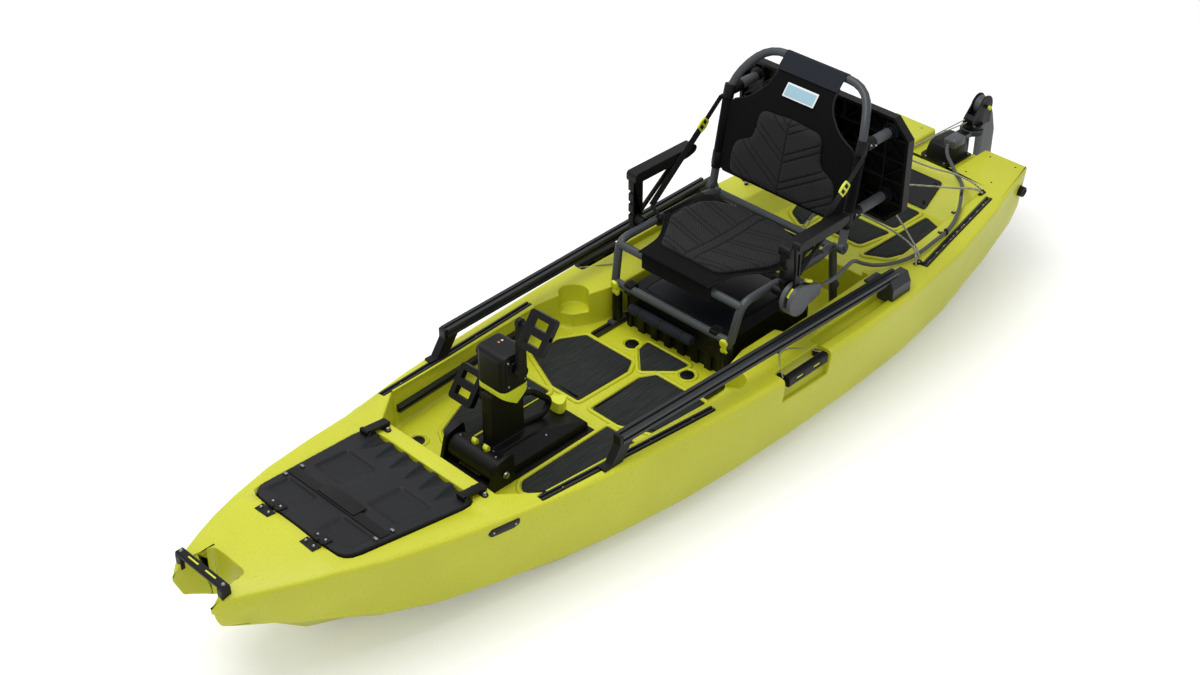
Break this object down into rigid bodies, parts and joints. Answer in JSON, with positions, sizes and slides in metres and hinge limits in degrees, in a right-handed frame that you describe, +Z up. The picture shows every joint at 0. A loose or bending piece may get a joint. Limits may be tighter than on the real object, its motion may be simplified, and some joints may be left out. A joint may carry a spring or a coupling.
{
  "type": "pedal kayak",
  "caption": "Sit-on-top pedal kayak with framed seat, fold-up drive, bow hatch, side rails, tankwell and kick-up rudder.",
  "frame": {"origin": "amidships on the keel's flat underside", "axes": "+X towards the bow, +Y to port, +Z up"},
  "size_m": [3.247, 0.848, 0.911],
  "materials": {
    "hull_plastic": "lightly speckled moulded green plastic",
    "accent_plastic": "bright green moulded plastic",
    "black_plastic": "black moulded plastic",
    "lid_plastic": "dark grey textured lid",
    "pad_foam": "brushed dark foam decking",
    "rail_metal": "dark anodised aluminium",
    "tube_metal": "dark grey coated tube",
    "mesh_fabric": "black mesh fabric over foam",
    "webbing": "dark grey webbing",
    "hose_plastic": "grey plastic",
    "cord": "grey patterned cord",
    "plug_rubber": "black rubber"
  },
  "bodies": {
    "boat": {"hull": "hull_plastic", "bow_handle": "black_plastic", "hatch_hinge_port": "black_plastic", "hatch_hinge_starboard": "black_plastic", "latch_keeper_port": "black_plastic", "latch_keeper_starboard": "black_plastic", "front_track_port": "black_plastic", "front_track_starboard": "black_plastic", "rear_track_port": "black_plastic", "rear_track_starboard": "black_plastic", "seat_track_port": "black_plastic", "seat_track_starboard": "black_plastic", "wall_track_starboard": "black_plastic", "rail_port": "rail_metal", "rail_starboard": "rail_metal", "rail_leg_port": "black_plastic", "rail_leg_starboard": "black_plastic", "pad_mid_port": "pad_foam", "pad_mid_starboard": "pad_foam", "pad_front_port": "pad_foam", "pad_front_starboard": "pad_foam", "tankwell_pad": "pad_foam", "drive_dock": "black_plastic", "seat_box": "black_plastic", "seat_roll": "mesh_fabric", "stern_plate": "black_plastic", "rudder_base": "black_plastic", "steering_hose": "hose_plastic", "bungee": "cord", "rudder_line": "cord"},
    "lid": {"hatch_lid": "lid_plastic", "hatch_strap": "webbing"},
    "latch_p": {"latch_port": "black_plastic"},
    "latch_s": {"latch_starboard": "black_plastic"},
    "drive": {"drive_base": "black_plastic", "drive_housing": "black_plastic", "drive_cap": "accent_plastic"},
    "levers": {"release_levers": "accent_plastic"},
    "knob": {"drive_knob": "accent_plastic"},
    "cranks": {"crankset": "black_plastic"},
    "pedal_p": {"pedal_port": "black_plastic"},
    "pedal_s": {"pedal_starboard": "black_plastic"},
    "leg": {"drive_leg": "black_plastic"},
    "prop": {"propeller": "black_plastic"},
    "seat": {"seat_frame": "tube_metal", "seat_pad": "mesh_fabric", "strap_port": "webbing", "strap_starboard": "webbing", "steering_drum": "hose_plastic"},
    "back": {"back_frame": "tube_metal", "back_pad": "mesh_fabric", "back_panel": "black_plastic"},
    "arm_p": {"armrest_port": "black_plastic"},
    "arm_s": {"armrest_starboard": "black_plastic"},
    "tiller": {"steering_lever": "black_plastic"},
    "rudder": {"rudder_head": "black_plastic"},
    "blade": {"rudder_blade": "black_plastic"},
    "plug": {"drain_plug": "plug_rubber"},
    "handle_p": {"side_handle_port": "black_plastic"},
    "handle_s": {"side_handle_starboard": "black_plastic"}
  },
  "joints": [
    {"name": "hatch_lid_hinge", "type": "hinge", "parent": "boat", "child": "lid", "pos_m": [1.2222, 0, 0.374], "axis": [0, 1, 0], "range_deg": [0, 100]},
    {"name": "latch_port_hinge", "type": "hinge", "parent": "lid", "child": "latch_p", "pos_m": [0.845, 0.188, 0.34081], "axis": [0, 1, 0], "range_deg": [0, 100]},
    {"name": "latch_starboard_hinge", "type": "hinge", "parent": "lid", "child": "latch_s", "pos_m": [0.845, -0.188, 0.34081], "axis": [0, 1, 0], "range_deg": [0, 100]},
    {"name": "drive_lift", "type": "hinge", "parent": "boat", "child": "drive", "pos_m": [0.622, 0, 0.232], "axis": [0, 1, 0], "range_deg": [0, 55]},
    {"name": "leg_deploy", "type": "hinge", "parent": "drive", "child": "leg", "pos_m": [0.345, 0, 0.125], "axis": [0, 1, 0], "range_deg": [0, 90]},
    {"name": "crank_spin", "type": "hinge", "parent": "drive", "child": "cranks", "pos_m": [0.527, 0, 0.5], "axis": [0, 1, 0], "continuous": true},
    {"name": "propeller_spin", "type": "hinge", "parent": "leg", "child": "prop", "pos_m": [0.6, 0, 0.05], "axis": [0, 0, -1], "continuous": true},
    {"name": "pedal_port_spin", "type": "hinge", "parent": "cranks", "child": "pedal_p", "pos_m": [0.527, 0.141, 0.655], "axis": [0, 1, 0], "continuous": true},
    {"name": "pedal_starboard_spin", "type": "hinge", "parent": "cranks", "child": "pedal_s", "pos_m": [0.527, -0.141, 0.345], "axis": [0, 1, 0], "continuous": true},
    {"name": "knob_turn", "type": "hinge", "parent": "drive", "child": "knob", "pos_m": [0.325, 0, 0.25], "axis": [0, 0, 1], "range_deg": [0, 90]},
    {"name": "lever_tip", "type": "hinge", "parent": "drive", "child": "levers", "pos_m": [0.612, 0, 0.25125], "axis": [0, 1, 0], "range_deg": [0, 10], "stiffness_Nm_per_rad": 0.05},
    {"name": "seat_slide", "type": "slide", "parent": "boat", "child": "seat", "axis": [1, 0, 0], "range_m": [-0.03, 0.06], "deforming": ["steering_hose"]},
    {"name": "back_recline", "type": "hinge", "parent": "seat", "child": "back", "pos_m": [-0.575, 0, 0.46], "axis": [0, 1, 0], "range_deg": [0, 25], "deforming": ["strap_port", "strap_starboard"]},
    {"name": "armrest_port_hinge", "type": "hinge", "parent": "seat", "child": "arm_p", "pos_m": [-0.277, 0.288, 0.46], "axis": [0, 1, 0], "range_deg": [0, 80]},
    {"name": "armrest_starboard_hinge", "type": "hinge", "parent": "seat", "child": "arm_s", "pos_m": [-0.277, -0.288, 0.46], "axis": [0, 1, 0], "range_deg": [0, 80]},
    {"name": "tiller_tip", "type": "hinge", "parent": "seat", "child": "tiller", "pos_m": [-0.272, 0.327, 0.464], "axis": [0, 1, 0], "range_deg": [-35, 35]},
    {"name": "rudder_steer", "type": "hinge", "parent": "boat", "child": "rudder", "pos_m": [-1.588, 0, 0.4], "axis": [0, 0, 1], "range_deg": [-50, 50], "deforming": ["rudder_line"]},
    {"name": "rudder_kick", "type": "hinge", "parent": "rudder", "child": "blade", "pos_m": [-1.628, 0, 0.429], "axis": [0, 1, 0], "range_deg": [0, 100]},
    {"name": "plug_turn", "type": "hinge", "parent": "boat", "child": "plug", "pos_m": [-1.494, 0.27, 0.268], "axis": [0, 1, 0], "range_deg": [0, 180]},
    {"name": "handle_port_slide", "type": "slide", "parent": "boat", "child": "handle_p", "axis": [0, 1, 0], "range_m": [0, 0.05]},
    {"name": "handle_starboard_slide", "type": "slide", "parent": "boat", "child": "handle_s", "axis": [0, -1, 0], "range_m": [0, 0.05]}
  ],
  "couplings": [
    {"joint": "propeller_spin", "follows": "crank_spin", "ratio": 8},
    {"joint": "tiller_tip", "follows": "rudder_steer", "ratio": 0.7}
  ]
}
